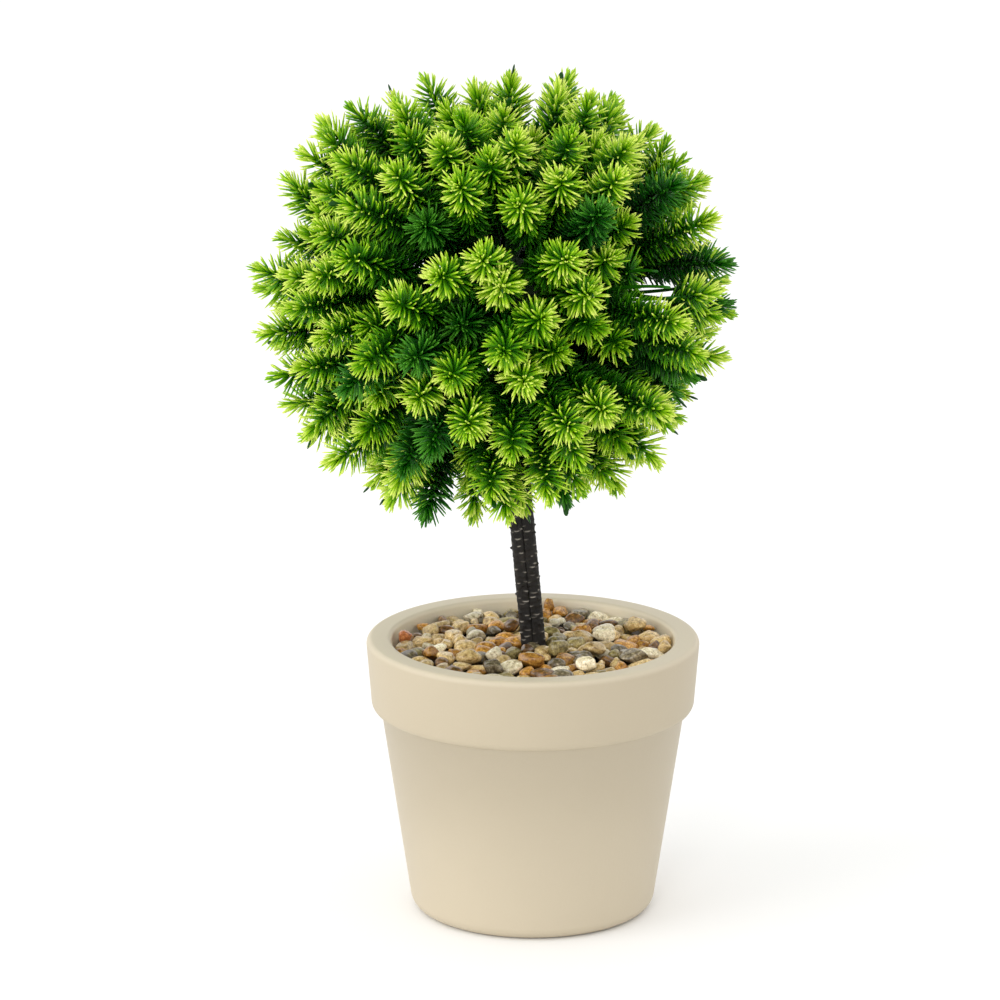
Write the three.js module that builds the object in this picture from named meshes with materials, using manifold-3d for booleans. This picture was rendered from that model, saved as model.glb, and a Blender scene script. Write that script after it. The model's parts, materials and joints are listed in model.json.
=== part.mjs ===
// An artificial topiary ball on twin stems, potted in a ceramic pot under a layer of river pebbles.
// Millimetres, +Z up. The origin is the centre of the pot's flat underside, on the pot's axis.
import * as THREE from "three";
import { mergeVertices } from "three/addons/utils/BufferGeometryUtils.js";
import Module from "manifold-3d";

const wasm = await Module();
wasm.setup();

// ---- Driving dimensions ----

const GAP = 0.3; // clearance left between touching pieces
const CUT_MARGIN = 1; // how far a cut or a joined bar runs past the surface that it meets
const GOLDEN_ANGLE = Math.PI * (3 - Math.sqrt(5));
const UP = new THREE.Vector3(0, 0, 1);

// Pot: a tapered body with a thicker band round its rim.
const POT_HEIGHT = 101;
const RIM_RADIUS = 60;
const RIM_ROUNDING = 2.2;
const RIM_WALL = 9;
const MOUTH_ROUNDING = 1.8;
const BAND_BOTTOM = 74.5;
const BAND_BOTTOM_RADIUS = 58.3;
const BAND_ROUNDING = 3.4;
const BODY_TOP_RADIUS = 54.8;
const BODY_FOOT_RADIUS = 43.6;
const FOOT_ROUNDING = 5.8;
const FLOOR_THICKNESS = 9;
const FLOOR_RADIUS = 38.6;
const POT_SIDES = 40;
const FOOT_STEPS = 4;
const ARC_STEPS = 3;

// Filling: a cast ballast plug, a bonded gravel bed on it, and loose-looking pebbles on top.
const BALLAST_TOP = 89;
const BED_EDGE_TOP = 95.6;
const BED_CENTRE_TOP = 97.2;
const FILL_SIDES = 32;
const PEBBLE_SIDES = 8;
const PEBBLE_RINGS = 5;

// Tree: everything above the pot leans together about the crown's centre.
const CROWN_CENTRE = new THREE.Vector3(-11.6, 0, 225.7);
const LEAN = THREE.MathUtils.degToRad(5.3);
const STEM_RADIUS = 2.1;
const STEM_SPACING = 2 * STEM_RADIUS + GAP;
const STEM_FOOT = -201;
const STEM_HEAD = 5.5;
const WIRE_RADIUS = 0.9;
const STEM_SIDES = 10;

// Crown: moulded sprays plug into a hub and fork into bushy tips that end on a rounded surface.
const HUB_RADIUS = 16;
const HUB_DETAIL = 2;
const SOCKET_DEPTH = 4;
const SPRAYS = 36;
const LOWEST_SPRAY = -0.8;
const STALK_RADIUS = 1.1;
const STALK_SIDES = 5;
const FORK_RADIUS = 36;
const FORK_STEP = 1.9;
const TIPS = 238;
const LOWEST_TIP = -0.985;
const TIP_JITTER = 0.06;
const CROWN_HALF_WIDTH = 89.5;
const CROWN_HALF_HEIGHT = 84;
const SQUARENESS_ABOVE = 2.6;
const SQUARENESS_BELOW = 2.25;
const REACH_SPREAD = 0.08;
const RECESSED_SHARE = 0.2;
const RECESSED_REACH = 0.83;
const TWIG_RADIUS = 0.9;
const TWIG_ROOT = 2.2;
const BUSH_LENGTH = 33;
const BUSH_WIDEST = 0.55;
const BUSH_RADIUS = 5.4;
const TIP_SIDES = 6;

// The crown is uneven: towards these sides it is cut short, by a share of its reach.
const SHORT_SIDES = [
  { side: new THREE.Vector3(0.8, 0, -0.6), cut: 0.09 },
  { side: new THREE.Vector3(0.72, 0, 0.69), cut: 0.1 },
];
const SHORT_SIDE_FALLOFF = 8;

// A parting lets light through the crown's right side: tips keep out of an oval round this line.
const PARTING_PLACE = new THREE.Vector3(51, 0, -2.6);
const PARTING_LINE = new THREE.Vector3(0, 0.978, -0.21).normalize();
const PARTING_HALF_WIDTH = 14;
const PARTING_HALF_HEIGHT = 9;

// Named pebbles: x, y, length, width, thickness, turn in degrees, stone.
const PEBBLES = [
  [-46.2, 7, 6, 5.2, 5, 60, "terracotta"],
  [-36.2, -15.2, 6, 5.2, 5, 20, "amber"],
  [-23, -20.9, 10, 7.2, 5.2, -8, "sand"],
  [-14, -18.4, 6.4, 5.4, 4.8, 15, "chalk"],
  [-14.2, -33.4, 8.2, 6.4, 5, -20, "slate"],
  [-0.6, -26.6, 10.4, 6.4, 5.6, -10, "amber"],
  [-7.5, 16.5, 6.4, 6, 5.4, 0, "umber"],
  [18.2, 14.4, 7.2, 5.4, 4.2, 12, "amber"],
  [25.7, 7.2, 8.8, 5.4, 5, -5, "chalk"],
  [38, 19.8, 7.2, 6.4, 5.8, 0, "sand"],
  [22, -11.5, 9.2, 6.2, 5.2, 24, "sand"],
  [9.3, -11.9, 8.4, 6.2, 5.6, 35, "olive"],
  [35.9, -20.4, 11, 6.6, 5.6, -12, "slate"],
  [47.2, -8.2, 6, 4.4, 5.4, 50, "sand"],
  [18.7, -30.4, 8, 6, 5.4, 10, "chalk"],
  [6.3, 46.8, 4.2, 3.4, 5.8, 0, "amber"],
];

// ---- Materials ----

function material(color, roughness, metalness = 0) {
  return new THREE.MeshStandardMaterial({ color, roughness, metalness });
}

const MATERIALS = {
  ceramic: material(0xd6c8ad, 0.5),
  cement: material(0x9a958c, 0.9),
  gravel: material(0xa08f70, 0.6),
  bark: material(0x2c2824, 0.6),
  wire: material(0x9a9ca0, 0.35, 1),
  hub: material(0x1d3b12, 0.6),
  spray: material(0x5f9a1f, 0.45),
  sand: material(0xd0b283, 0.4),
  amber: material(0xb9742c, 0.35),
  umber: material(0x86501f, 0.35),
  terracotta: material(0xb5613c, 0.45),
  chalk: material(0xd9d2c2, 0.4),
  olive: material(0x9b8a5b, 0.4),
  slate: material(0x77736b, 0.45),
};

// ---- Shapes and solids ----

function hash(index, stream) {
  const wave = Math.sin(index * 12.9898 + stream * 78.233) * 43758.5453;
  return wave - Math.floor(wave);
}

// Points of an arc about a place on the profile.
function arc([radius, height], rounding, fromDegrees, toDegrees, steps) {
  const points = [];
  for (let i = 0; i <= steps; i += 1) {
    const angle = THREE.MathUtils.degToRad(fromDegrees + ((toDegrees - fromDegrees) * i) / steps);
    points.push(new THREE.Vector2(radius + rounding * Math.cos(angle), height + rounding * Math.sin(angle)));
  }
  return points;
}

function profile(pairs) {
  return pairs.map(([radius, height]) => new THREE.Vector2(radius, height));
}

// A profile of (radius, height) points, turned about +Z.
function turned(points, sides) {
  return new THREE.LatheGeometry(points, sides).rotateX(Math.PI / 2);
}

// A round bar along +Z from one height to another.
function bar(radius, from, to, sides) {
  return turned(profile([[0, from], [radius, from], [radius, to], [0, to]]), sides);
}

// Turns a shape that stands on the origin along +Z into the given direction, then moves it.
function aimed(geometry, direction, place = new THREE.Vector3()) {
  const turn = new THREE.Quaternion().setFromUnitVectors(UP, direction);
  return geometry.applyQuaternion(turn).translate(place.x, place.y, place.z);
}

function solid(geometry) {
  const bare = new THREE.BufferGeometry();
  const source = geometry.index ? geometry.toNonIndexed() : geometry;
  bare.setAttribute("position", source.getAttribute("position"));
  const merged = mergeVertices(bare, 1e-4);
  const corners = merged.index.array;
  const kept = [];
  for (let i = 0; i < corners.length; i += 3) {
    const [a, b, c] = [corners[i], corners[i + 1], corners[i + 2]];
    if (a !== b && b !== c && c !== a) kept.push(a, b, c);
  }
  const vertProperties = merged.getAttribute("position").array;
  return new wasm.Manifold(new wasm.Mesh({ numProp: 3, vertProperties, triVerts: new Uint32Array(kept) }));
}

function shape(manifold) {
  const made = manifold.getMesh();
  const geometry = new THREE.BufferGeometry();
  geometry.setAttribute("position", new THREE.BufferAttribute(made.vertProperties, 3));
  geometry.setIndex(new THREE.BufferAttribute(made.triVerts, 1));
  return geometry;
}

// One body, solid all through: a hollow that its parts shut in is filled.
function joined(geometries) {
  const whole = geometries.map(solid).reduce((sum, part) => sum.add(part));
  return whole.decompose().find((shell) => shell.volume() > 0);
}

function cut(geometry, holes) {
  return holes.map(solid).reduce((left, hole) => left.subtract(hole), solid(geometry));
}

function piece(name, geometry, finish) {
  const mesh = new THREE.Mesh(geometry, MATERIALS[finish].clone());
  mesh.name = name;
  return mesh;
}

function numbered(name, index) {
  return `${name}_${String(index + 1).padStart(2, "0")}`;
}

// ---- Pot ----

// The inside wall's radius at a height: a straight taper from the floor to the mouth.
function insideRadius(height) {
  const mouth = RIM_RADIUS - RIM_WALL;
  const mouthHeight = POT_HEIGHT - MOUTH_ROUNDING;
  const share = (height - FLOOR_THICKNESS) / (mouthHeight - FLOOR_THICKNESS);
  return FLOOR_RADIUS + (mouth - FLOOR_RADIUS) * share;
}

// How far a wall tilts outwards from upright, in radians.
function wallTilt(footRadius, headRadius, rise) {
  return Math.atan((headRadius - footRadius) / rise);
}

// The outline runs up the outside from the underside's centre, over the rim and down the inside to the floor.
// The foot's rounding meets both the flat underside and the tilted wall without a corner.
function pot() {
  const bodyTilt = wallTilt(BODY_FOOT_RADIUS, BODY_TOP_RADIUS, BAND_BOTTOM);
  const shoulder = POT_HEIGHT - RIM_ROUNDING;
  const bandTilt = wallTilt(BAND_BOTTOM_RADIUS, RIM_RADIUS, shoulder - BAND_BOTTOM);
  const bodyStop = -THREE.MathUtils.radToDeg(bodyTilt);
  const bandStop = -THREE.MathUtils.radToDeg(bandTilt);
  const footInset = Math.cos(bodyTilt) - Math.tan(bodyTilt) * (1 - Math.sin(bodyTilt));
  const foot = [BODY_FOOT_RADIUS - FOOT_ROUNDING * footInset, FOOT_ROUNDING];
  const band = [BAND_BOTTOM_RADIUS - BAND_ROUNDING, BAND_BOTTOM + BAND_ROUNDING];
  const rim = [RIM_RADIUS - RIM_ROUNDING, shoulder];
  const mouth = [RIM_RADIUS - RIM_WALL + MOUTH_ROUNDING, POT_HEIGHT - MOUTH_ROUNDING];
  const outline = [
    new THREE.Vector2(0, 0),
    ...arc(foot, FOOT_ROUNDING, -90, bodyStop, FOOT_STEPS),
    new THREE.Vector2(BODY_TOP_RADIUS, BAND_BOTTOM),
    ...arc(band, BAND_ROUNDING, -90, bandStop, ARC_STEPS),
    ...arc(rim, RIM_ROUNDING, bandStop, 90, ARC_STEPS),
    ...arc(mouth, MOUTH_ROUNDING, 90, 180, ARC_STEPS),
    new THREE.Vector2(FLOOR_RADIUS, FLOOR_THICKNESS),
    new THREE.Vector2(0, FLOOR_THICKNESS),
  ];
  return piece("pot", shape(solid(turned(outline, POT_SIDES))), "ceramic");
}

// ---- Filling ----

// A filling piece that follows the pot's inside wall, with a flat underside and a top that may be domed.
function filling(bottom, edgeTop, centreTop) {
  return turned(
    profile([
      [0, bottom],
      [insideRadius(bottom) - GAP, bottom],
      [insideRadius(edgeTop) - GAP, edgeTop],
      [0, centreTop],
    ]),
    FILL_SIDES,
  );
}

// Bores for the two stems, in the pot's frame, closed just below the stems' feet.
function stemBores() {
  const tree = new THREE.Matrix4().makeRotationY(-LEAN).setPosition(CROWN_CENTRE);
  return [-1, 1].map((side) =>
    bar(STEM_RADIUS + GAP, STEM_FOOT - GAP, 0, STEM_SIDES)
      .translate((side * STEM_SPACING) / 2, 0, 0)
      .applyMatrix4(tree),
  );
}

function ballast() {
  const plug = filling(FLOOR_THICKNESS + GAP, BALLAST_TOP, BALLAST_TOP);
  return piece("ballast_plug", shape(cut(plug, stemBores())), "cement");
}

function gravelBed() {
  const bed = filling(BALLAST_TOP + GAP, BED_EDGE_TOP, BED_CENTRE_TOP);
  return piece("gravel_bed", shape(cut(bed, stemBores())), "gravel");
}

function pebble([x, y, length, width, thickness, turn, stone], index) {
  const ball = new THREE.SphereGeometry(1 / 2, PEBBLE_SIDES, PEBBLE_RINGS).rotateX(Math.PI / 2);
  const rounded = ball.scale(length, width, thickness);
  const mesh = piece(numbered("pebble", index), shape(solid(rounded)), stone);
  const rise = (BED_CENTRE_TOP - BED_EDGE_TOP) * (1 - Math.hypot(x, y) / insideRadius(BED_EDGE_TOP));
  mesh.position.set(x, y, BED_EDGE_TOP + rise + 2 * GAP + thickness / 2);
  mesh.rotation.z = THREE.MathUtils.degToRad(turn);
  return mesh;
}

// ---- Stems and hub, in the tree's frame: the crown's centre is its origin ----

function stem(side, name) {
  const group = new THREE.Group();
  const bore = WIRE_RADIUS + GAP;
  const ring = profile([
    [bore, STEM_FOOT],
    [STEM_RADIUS, STEM_FOOT],
    [STEM_RADIUS, STEM_HEAD],
    [bore, STEM_HEAD],
    [bore, STEM_FOOT],
  ]);
  group.add(piece(`stem_bark_${name}`, shape(solid(turned(ring, STEM_SIDES))), "bark"));
  group.add(piece(`stem_wire_${name}`, bar(WIRE_RADIUS, STEM_FOOT, STEM_HEAD, STEM_SIDES), "wire"));
  group.position.x = (side * STEM_SPACING) / 2;
  return group;
}

function hub(axes) {
  const ball = new THREE.IcosahedronGeometry(HUB_RADIUS, HUB_DETAIL);
  const clear = HUB_RADIUS + CUT_MARGIN;
  const sockets = axes.map((axis) =>
    aimed(bar(STALK_RADIUS + GAP, HUB_RADIUS - SOCKET_DEPTH, clear, STALK_SIDES), axis),
  );
  const bores = [-1, 1].map((side) =>
    bar(STEM_RADIUS + GAP, -clear, STEM_HEAD + GAP, STEM_SIDES).translate((side * STEM_SPACING) / 2, 0, 0),
  );
  return piece("crown_hub", shape(cut(ball, [...sockets, ...bores])), "hub");
}

// ---- Sprays ----

// Evenly spread directions, from straight up down to the given height on the unit sphere.
function spreadDirection(index, count, lowest) {
  const height = 1 - ((1 - lowest) * (index + 0.5)) / count;
  const around = Math.sqrt(1 - height * height);
  const turn = index * GOLDEN_ANGLE;
  return new THREE.Vector3(around * Math.cos(turn), around * Math.sin(turn), height);
}

// Nearly even directions, each nudged a little off its place.
function scatteredDirection(index) {
  const nudge = [1, 2, 3].map((stream) => TIP_JITTER * (2 * hash(index, stream) - 1));
  return spreadDirection(index, TIPS, LOWEST_TIP).add(new THREE.Vector3(...nudge)).normalize();
}

// How far the crown reaches from its centre in a direction: a slightly squared spheroid with its short sides.
function crownReach(direction) {
  const sideways = Math.hypot(direction.x, direction.y) / CROWN_HALF_WIDTH;
  const upward = Math.abs(direction.z) / CROWN_HALF_HEIGHT;
  const squareness = direction.z > 0 ? SQUARENESS_ABOVE : SQUARENESS_BELOW;
  const full = (sideways ** squareness + upward ** squareness) ** (-1 / squareness);
  return SHORT_SIDES.reduce((reach, { side, cut }) => {
    const facing = Math.max(0, direction.dot(side) / side.length());
    return reach * (1 - cut * facing ** SHORT_SIDE_FALLOFF);
  }, full);
}

// Moves a point that lies inside the parting's oval straight out to its edge.
function parted(point) {
  const away = point.clone().sub(PARTING_PLACE);
  away.addScaledVector(PARTING_LINE, -away.dot(PARTING_LINE));
  const height = Math.hypot(away.y, away.z);
  const share = Math.hypot(away.x / PARTING_HALF_WIDTH, height / PARTING_HALF_HEIGHT);
  return share < 1 ? point.clone().addScaledVector(away, 1 / share - 1) : point;
}

// Most tips end near the crown's surface; some stay back between the others.
function tipEnd(index) {
  const free = scatteredDirection(index);
  const direction = parted(free.clone().multiplyScalar(crownReach(free))).normalize();
  const recessed = hash(index, 5) < RECESSED_SHARE;
  const share = recessed ? RECESSED_REACH : 1 - REACH_SPREAD * hash(index, 4) ** 2;
  return direction.clone().multiplyScalar(crownReach(direction) * share);
}

// The number of the axis that points closest to a place.
function nearest(axes, place) {
  const closeness = axes.map((axis) => axis.dot(place));
  return closeness.indexOf(Math.max(...closeness));
}

// The end points of every tip, in one list per spray.
function tipsBySpray(axes) {
  const lists = axes.map(() => []);
  for (let i = 0; i < TIPS; i += 1) {
    const end = tipEnd(i);
    lists[nearest(axes, end)].push(end);
  }
  return lists;
}

// A twig from its fork to the tip's end, with the needles' bulk round its outer part.
function bushyTwig(fork, end) {
  const along = end.clone().sub(fork);
  const length = along.length();
  const bush = length - BUSH_LENGTH;
  const outline = profile([
    [0, -TWIG_ROOT],
    [TWIG_RADIUS, bush],
    [BUSH_RADIUS, bush + BUSH_WIDEST * BUSH_LENGTH],
    [0, length],
  ]);
  return aimed(turned(outline, TIP_SIDES), along.normalize(), fork);
}

// A moulded spray: its twigs leave the stalk one after another, the widest lowest.
function spray(axis, ends, index) {
  const plugEnd = HUB_RADIUS - SOCKET_DEPTH + GAP;
  const stalk = aimed(bar(STALK_RADIUS, plugEnd, FORK_RADIUS + CUT_MARGIN, STALK_SIDES), axis);
  const widestFirst = [...ends].sort((a, b) => b.angleTo(axis) - a.angleTo(axis));
  const twigs = widestFirst.map((end, k) => {
    const height = FORK_RADIUS - FORK_STEP * (ends.length - 1 - k);
    return bushyTwig(axis.clone().multiplyScalar(height), end);
  });
  return piece(numbered("spray", index), shape(joined([stalk, ...twigs])), "spray");
}

// ---- Assembly ----

function potted() {
  const group = new THREE.Group();
  group.add(pot(), ballast(), gravelBed());
  PEBBLES.forEach((row, index) => group.add(pebble(row, index)));
  return group;
}

function tree() {
  const group = new THREE.Group();
  const axes = Array.from({ length: SPRAYS }, (_, i) => spreadDirection(i, SPRAYS, LOWEST_SPRAY));
  const tips = tipsBySpray(axes);
  group.add(stem(-1, "left"), stem(1, "right"), hub(axes));
  axes.forEach((axis, index) => group.add(spray(axis, tips[index], index)));
  group.position.copy(CROWN_CENTRE);
  group.rotation.y = -LEAN;
  return group;
}

const topiary = new THREE.Group();
topiary.add(potted(), tree());

export default topiary;
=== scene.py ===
import json
import math

import bmesh
import bpy
import numpy as np
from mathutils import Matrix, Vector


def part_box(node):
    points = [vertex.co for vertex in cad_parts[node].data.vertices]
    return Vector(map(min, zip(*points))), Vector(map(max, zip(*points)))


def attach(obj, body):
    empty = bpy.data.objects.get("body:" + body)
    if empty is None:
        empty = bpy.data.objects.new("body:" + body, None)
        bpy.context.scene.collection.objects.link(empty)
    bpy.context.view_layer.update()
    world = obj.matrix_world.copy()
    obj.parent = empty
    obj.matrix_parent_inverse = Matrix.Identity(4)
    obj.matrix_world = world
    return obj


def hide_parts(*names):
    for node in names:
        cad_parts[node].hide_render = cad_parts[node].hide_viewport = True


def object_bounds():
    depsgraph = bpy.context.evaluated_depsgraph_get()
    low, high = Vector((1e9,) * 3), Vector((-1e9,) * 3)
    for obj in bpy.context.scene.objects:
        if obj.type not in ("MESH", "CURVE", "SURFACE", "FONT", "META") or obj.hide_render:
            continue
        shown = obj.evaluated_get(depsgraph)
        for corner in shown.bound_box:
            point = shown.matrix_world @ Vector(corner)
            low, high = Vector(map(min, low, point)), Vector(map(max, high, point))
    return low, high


# The looks of an artificial topiary ball on twin stems in a ceramic pot, built round its CAD frame.
# Shapes are worked out in millimetres and become metres when a piece is made.

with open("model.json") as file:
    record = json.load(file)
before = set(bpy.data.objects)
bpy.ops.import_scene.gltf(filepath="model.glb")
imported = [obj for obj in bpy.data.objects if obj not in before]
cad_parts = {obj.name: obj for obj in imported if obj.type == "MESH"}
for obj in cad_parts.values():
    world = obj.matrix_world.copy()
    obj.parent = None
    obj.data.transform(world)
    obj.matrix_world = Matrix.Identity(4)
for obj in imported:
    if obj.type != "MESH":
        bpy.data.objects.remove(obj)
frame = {"nodes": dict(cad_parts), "record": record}
cad_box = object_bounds()

MM = 0.001
GAP = 0.3
TINY = 1e-6
GOLDEN_ANGLE = math.pi * (3 - math.sqrt(5))

# ---- Sizes that the CAD model has too ----

POT_HEIGHT = 101
RIM_RADIUS = 60
RIM_ROUNDING = 2.2
RIM_WALL = 9
MOUTH_ROUNDING = 1.8
BAND_BOTTOM = 74.5
BAND_BOTTOM_RADIUS = 58.3
BAND_ROUNDING = 3.4
BODY_TOP_RADIUS = 54.8
BODY_FOOT_RADIUS = 43.6
FOOT_ROUNDING = 5.8
FLOOR_THICKNESS = 9
FLOOR_RADIUS = 38.6

STEM_RADIUS = 2.1
STEM_HEAD = 5.5
WIRE_RADIUS = 0.9

HUB_RADIUS = 16
SOCKET_DEPTH = 4
SPRAYS = 36
LOWEST_SPRAY = -0.8
STALK_RADIUS = 1.1
FORK_RADIUS = 36
FORK_STEP = 1.9
TIPS = 238
LOWEST_TIP = -0.985
TIP_JITTER = 0.06
CROWN_HALF_WIDTH = 89.5
CROWN_HALF_HEIGHT = 84
SQUARENESS_ABOVE = 2.6
SQUARENESS_BELOW = 2.25
REACH_SPREAD = 0.08
RECESSED_SHARE = 0.2
RECESSED_REACH = 0.83
SHORT_SIDES = [((0.8, 0, -0.6), 0.09), ((0.72, 0, 0.69), 0.1)]
SHORT_SIDE_FALLOFF = 8
PARTING_PLACE = np.array([51, 0, -2.6])
PARTING_LINE = np.array([0, 0.978, -0.21]) / math.hypot(0.978, 0.21)
PARTING_HALF_SIZE = np.array([14, 9])

# ---- Sizes of the finer detail ----

POT_SIDES = 160
ARC_STEPS = 12

TWIG_SIDES = 6
TWIG_STEPS = 14
TWIG_THICK = 0.75
TWIG_THIN = 0.5
TWIG_WANDER = 0.15
TWIG_TONE = 0.2
STALK_SIDES = 8
STALK_STEPS = 6
STALK_TONE = 0.12
WHORL_START = 1.0
WHORL_PITCH = 1.75
WHORL_JITTER = 0.2
BUSH_LENGTH = 38
FEWEST_NEEDLES = 12
MOST_NEEDLES = 13
END_NEEDLES = 4
AROUND_JITTER = 0.18
ROOT_STAGGER = 0.9
NEEDLE_LENGTH = 9.4
NEEDLE_HALF_WIDTHS = np.array([0.36, 0.43, 0.33])
NEEDLE_SHARES = np.array([0, 0.4, 0.87, 1])
NEEDLE_THINNESS = 0.85
NEEDLE_DRIFT = 0.26
END_NEEDLE_LENGTH = 6.4
LENGTHENING_LENGTH = 6
LENGTH_SHARES = (0.82, 1.12)
OPENING_LENGTH = 6.5
CLEARED_HALF_SIZE = np.array([12, 8])
NUB_CHANCE = 0.2
NUB_LENGTH = 7.5
NUB_CLEARANCE = 3
NUB_SIDES = 8
NUB_WANDER = 0.12
NUB_FLATTENING = 0.55
NUB_SHARES = np.array([0, 0.25, 0.55, 0.75, 0.9, 1])
NUB_RADII = np.array([0.5, 0.5, 0.7, 1.0, 0.8, 0.35])

# How far a needle's root and point lean away from the twig, in degrees: at the twig's end, and how much more
# where the bush has opened.
ROOT_LEAN = 16
ROOT_LEAN_GAIN = 58
ROOT_LEAN_JITTER = 6
POINT_LEAN = 10
POINT_LEAN_GAIN = 46
POINT_LEAN_JITTER = 8

# How light a needle's root and point are, from 0 to 1, and how that changes away from the twig's end.
ROOT_TONE = 0.41
ROOT_TONE_LOSS = 0.37
ROOT_DARKENING_LENGTH = 11
POINT_TONE = 0.88
POINT_TONE_GAIN = 0.2
POINT_LIGHTENING_LENGTH = 3
POINT_TONE_LOSS = 0.74
POINT_DARKENING_START = 4
POINT_DARKENING_LENGTH = 22
TONE_CURVE = 1.6
TONE_JITTER = 0.05
SIDE_LIGHT = 0.16
BRIGHTNESS = (0.78, 1.22)
DEEP_CHANCE = 0.13

BARK_SIDES = 40
BARK_STEP = 0.22
BARK_RELIEF = 0.08
FLANK_FILL = 0.9
SEAM = 0.02
KNOB_SPACING = 4
KNOB_RADIUS = 0.45
KNOB_HEIGHT = 0.9
MARK_SPACING = 2.7
MARK_COLUMNS = 5
MARK_HALF_LENGTHS = (0.35, 0.95)
MARK_HALF_WIDTH = 0.17
MARK_BOW = 0.28
MARK_HEIGHT = 0.2

BED_STONES = 185
UNDER_STONES = 110
BED_RADIUS = 50.1
BED_TOP = 96.4
BINDER_DEPTH = 4.4
UNDER_DEPTH = 4
STONE_LENGTHS = (4.8, 9.8)
WIDTH_SHARES = (0.62, 0.86)
THICKNESS_SHARES = (0.62, 0.9)
STONE_THICKEST = 5.6
STONE_TILT = 0.4
STONE_ROLL = 0.3
STONE_SHADES = (0.78, 1.34)
STONE_SQUARENESS = (2.0, 2.7)
STONE_WAVES = 7
WAVE_RATES = (1.0, 2.6)
WAVE_HEIGHTS = (0.02, 0.07)
STONE_FLATS = 4
FLAT_DISTANCES = (0.6, 0.85)
FLAT_WEAR = 0.75
GRAIN_SPREAD = 60
SETTLING_JITTER = 1.5
SETTLING_ROUNDS = 160
SETTLING_PUSH = 0.35
STONE_CROWDING = 0.93
WALL_CROWDING = 0.9

# How far the glaze is mixed towards a paler colour inside, on the rim's top and on the body: painted light.
INSIDE_PAINTED_LIGHT = 0.9
RIM_PAINTED_LIGHT = 0.48
BODY_PAINTED_LIGHT = 0.2


# ---- Vectors ----

def unit(vectors):
    return vectors / np.linalg.norm(vectors, axis=-1, keepdims=True)


def hashed(index, stream):
    """Repeatable numbers from 0 to 1 for whole numbers."""
    wave = np.sin(np.asarray(index) * 12.9898 + stream * 78.233) * 43758.5453
    return wave - np.floor(wave)


def square_to(direction):
    """Two unit vectors that are square to a direction and to each other."""
    helper = np.eye(3)[np.argmin(np.abs(direction))]
    first = unit(np.cross(direction, helper))
    return first, np.cross(direction, first)


def turned(angle, axis=2):
    """The matrix that turns row vectors by an angle about x, y or z."""
    first, second = [i for i in range(3) if i != axis]
    matrix = np.eye(3)
    matrix[first, first] = matrix[second, second] = math.cos(angle)
    matrix[first, second] = math.sin(angle)
    matrix[second, first] = -math.sin(angle)
    return matrix


def eased(share):
    """A smooth step from 0 to 1."""
    share = np.clip(share, 0, 1)
    return share * share * (3 - 2 * share)


# ---- Where the CAD model's pieces are, in millimetres ----

def node_points(name):
    data = frame["nodes"][name].data
    flat = np.empty(3 * len(data.vertices))
    data.vertices.foreach_get("co", flat)
    return np.unique(np.round(flat.reshape(-1, 3) / MM, 3), axis=0)


def box_middle(points):
    return (points.min(axis=0) + points.max(axis=0)) / 2


def bar_ends(name):
    """The middles of an upright bar's lower and upper ends."""
    points = node_points(name)
    upper = points[:, 2] > points[:, 2].mean()
    return points[~upper].mean(axis=0), points[upper].mean(axis=0)


# ---- Meshes ----

class Build:
    """Gathers shapes and makes one mesh piece of them, with values at its points for the materials."""

    def __init__(self):
        self.points = []
        self.faces = []
        self.slots = []
        self.values = {}
        self.count = 0

    def add(self, points, faces, slot=0, **values):
        """Adds a shape. A value is one number, or one row for each point."""
        points = np.reshape(points, (-1, 3))
        for block in faces:
            self.faces.extend((np.asarray(block) + self.count).tolist())
            self.slots.extend([slot] * len(block))
        for name, value in values.items():
            value = np.asarray(value, float)
            width = value.shape[-1:] if value.ndim == 2 else ()
            rows = np.broadcast_to(value, (len(points), *width))
            self.values.setdefault(name, []).append(rows)
        self.points.append(points)
        self.count += len(points)

    def piece(self, name, finishes, node_names):
        """Makes the object, which stands for the named CAD nodes."""
        mesh = bpy.data.meshes.new(name)
        mesh.from_pydata((np.vstack(self.points) * MM).tolist(), [], self.faces)
        mesh.shade_smooth()
        for value_name, rows in self.values.items():
            data = np.concatenate(rows)
            kind = "FLOAT" if data.ndim == 1 else "FLOAT_VECTOR"
            attribute = mesh.attributes.new(value_name, kind, "POINT")
            field = "value" if data.ndim == 1 else "vector"
            attribute.data.foreach_set(field, data.ravel().astype(np.float32))
        for finish in finishes:
            mesh.materials.append(finish)
        mesh.polygons.foreach_set("material_index", self.slots)
        made = bpy.data.objects.new(name, mesh)
        bpy.context.scene.collection.objects.link(made)
        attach(made, "root")
        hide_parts(*node_names)
        return made


def ring_faces(rings, sides):
    """The quads between neighbouring rings, facing outwards where the rings turn anticlockwise."""
    ring, side = np.meshgrid(np.arange(rings - 1), np.arange(sides), indexing="ij")
    low, following = ring * sides, (side + 1) % sides
    corners = [low + side, low + following, low + sides + following, low + sides + side]
    return np.stack(corners, axis=-1).reshape(-1, 4)


def tube(path, radii, sides):
    """A round bar along a path, closed at both ends: points and faces."""
    along = unit(np.gradient(path, axis=0))
    first = unit(np.cross(along, square_to(path[-1] - path[0])[0]))
    second = np.cross(along, first)
    angle = (2 * math.pi * np.arange(sides) / sides)[None, :, None]
    ring = np.cos(angle) * first[:, None] + np.sin(angle) * second[:, None]
    points = path[:, None] + np.reshape(radii, (-1, 1, 1)) * ring
    start = np.arange(sides)[::-1][None]
    end = np.arange(sides)[None] + sides * (len(path) - 1)
    return points, [ring_faces(len(path), sides), start, end]


def arc(middle, rounding, from_angle, to_angle, steps):
    angle = np.linspace(from_angle, to_angle, steps + 1)
    return middle + rounding * np.column_stack([np.cos(angle), np.sin(angle)])


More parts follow.
